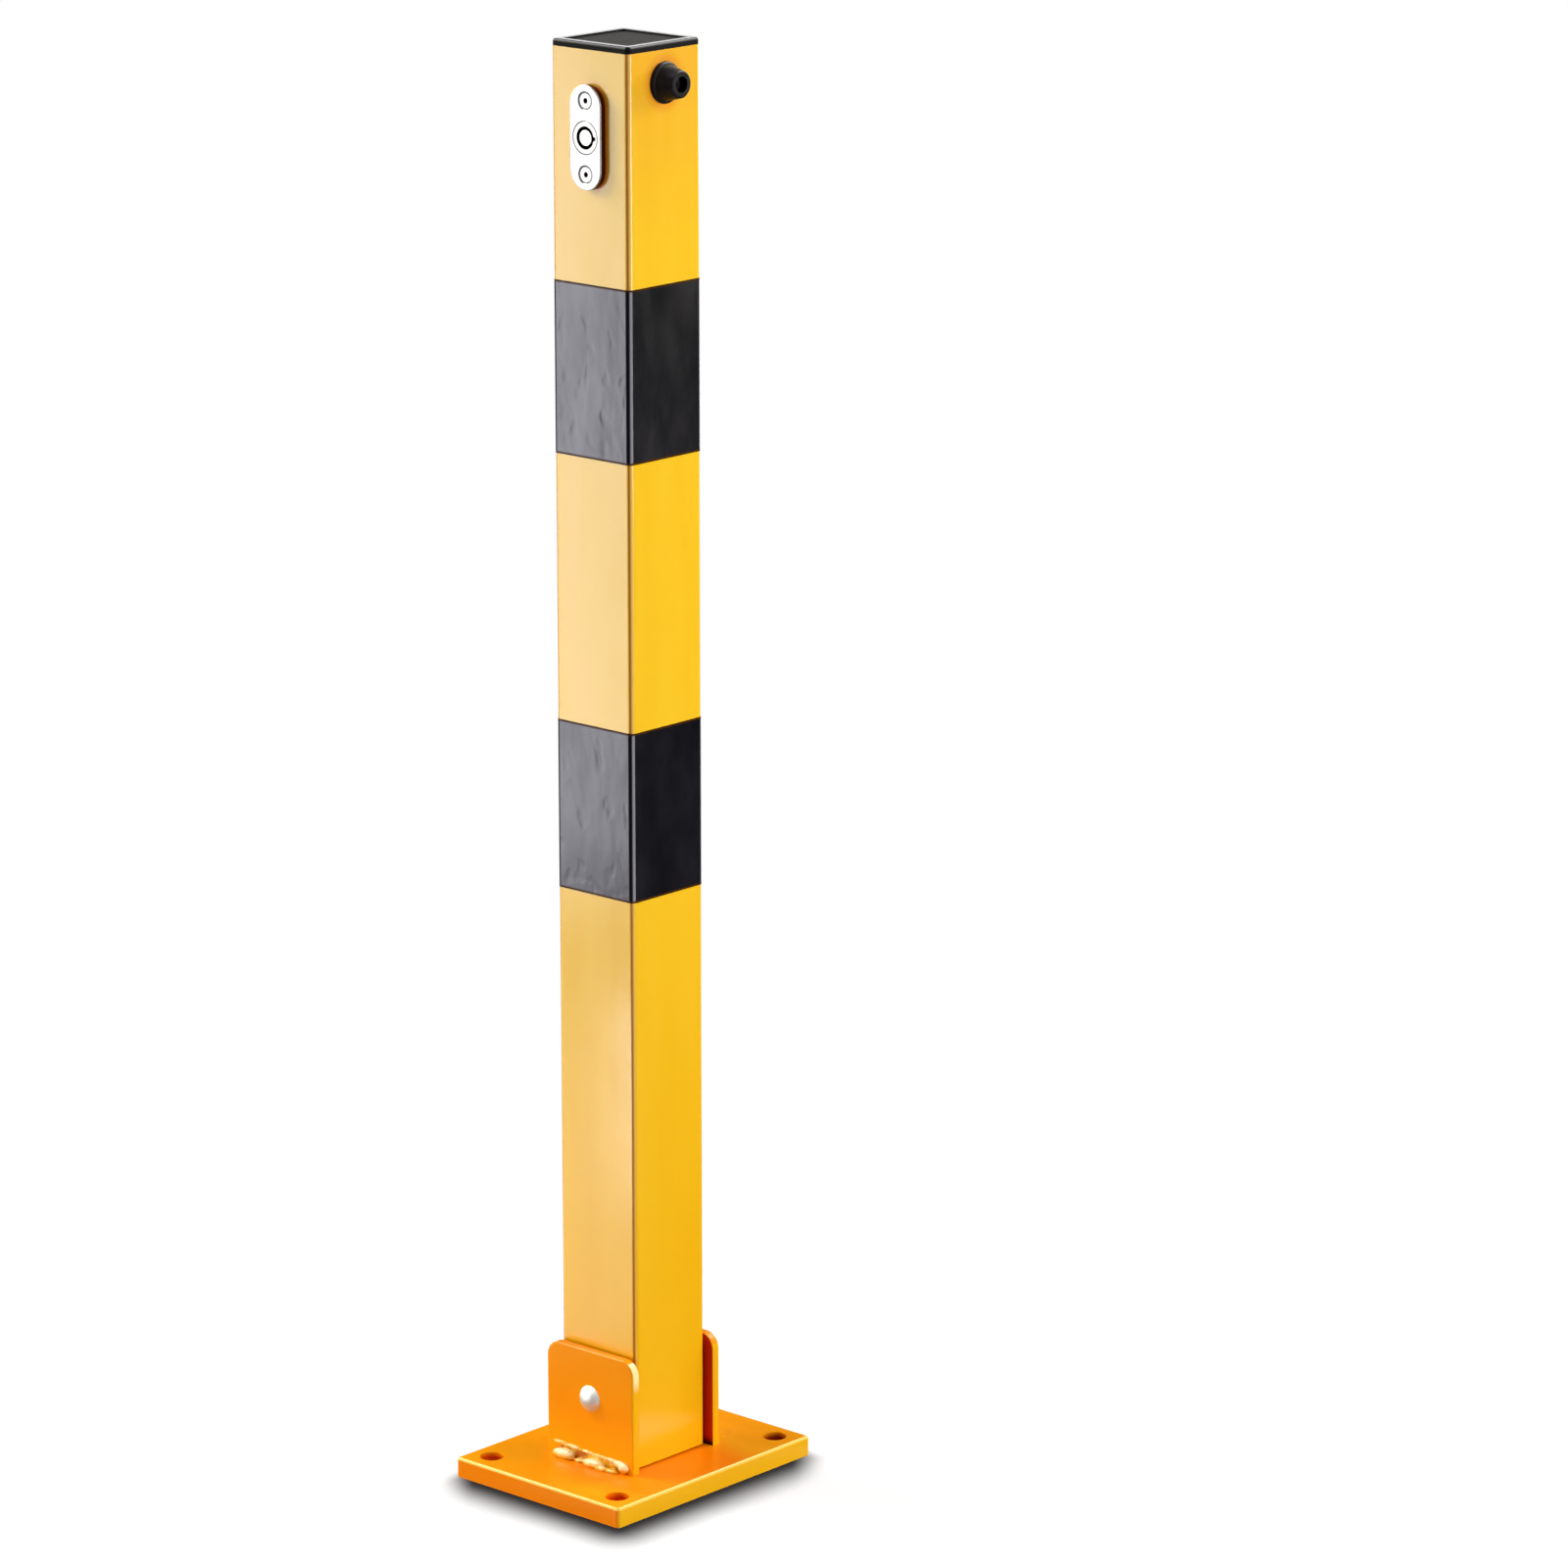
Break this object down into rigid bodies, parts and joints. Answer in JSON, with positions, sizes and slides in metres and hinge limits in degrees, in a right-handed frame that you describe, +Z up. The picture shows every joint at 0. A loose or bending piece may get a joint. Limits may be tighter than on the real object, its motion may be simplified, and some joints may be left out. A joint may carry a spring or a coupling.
{
  "type": "fold-down bollard",
  "caption": "Square yellow parking post with black bands on a bolt-down base plate; it unlocks near the top, lifts and folds flat onto a rubber bumper.",
  "frame": {"origin": "middle of the base plate's underside, under the post's axis", "axes": "+Z up along the post, the lock on the -Y face, the bumper on the +X face, the hinge pin along Y"},
  "size_m": [0.11, 0.14, 0.7134],
  "materials": {
    "yellow_paint": "yellow powder coat, satin gloss",
    "amber_paint": "amber yellow powder coat, satin gloss",
    "black_film": "black vinyl film, semi gloss",
    "black_plastic": "moulded black plastic with a fine grain",
    "black_rubber": "moulded black rubber",
    "stainless": "satin stainless steel",
    "lock_nickel": "nickel plated",
    "rivet_steel": "zinc plated steel",
    "plated_steel": "zinc plated steel",
    "guide_nylon": "natural nylon"
  },
  "bodies": {
    "base": {"base_plate": "amber_paint", "front_ear": "amber_paint", "rear_ear": "amber_paint", "front_ear_weld": "amber_paint", "rear_ear_weld": "amber_paint", "hinge_pin": "rivet_steel", "hinge_washers": "plated_steel"},
    "hinge_bar": {"hinge_eye": "plated_steel", "lift_bar": "plated_steel", "lift_stop": "plated_steel", "lock_catch": "plated_steel", "catch_nut": "plated_steel"},
    "post": {"post_tube": "yellow_paint", "top_cap": "black_plastic", "upper_band": "black_film", "lower_band": "black_film", "bar_guide": "guide_nylon", "lock_plate": "stainless", "lock_screws": "stainless", "lock_body": "lock_nickel", "lock_nut": "plated_steel", "bumper": "black_rubber", "bumper_screw": "plated_steel", "bumper_nut": "plated_steel"},
    "lock_core": {"lock_plug": "lock_nickel", "lock_cam": "plated_steel", "cam_screw": "plated_steel"}
  },
  "joints": [
    {"name": "fold", "type": "hinge", "parent": "base", "child": "hinge_bar", "pos_m": [0, 0, 0.0433], "axis": [0, 1, 0], "range_deg": [0, 90.5]},
    {"name": "lift", "type": "slide", "parent": "hinge_bar", "child": "post", "axis": [0, 0, 1], "range_m": [0, 0.0295]},
    {"name": "lock_turn", "type": "hinge", "parent": "post", "child": "lock_core", "pos_m": [0, -0.0282, 0.6688], "axis": [0, 1, 0], "range_deg": [0, 90]}
  ],
  "couplings": [
    {"joint": "lift", "follows": "fold", "m_per_rad": 0.0185}
  ]
}
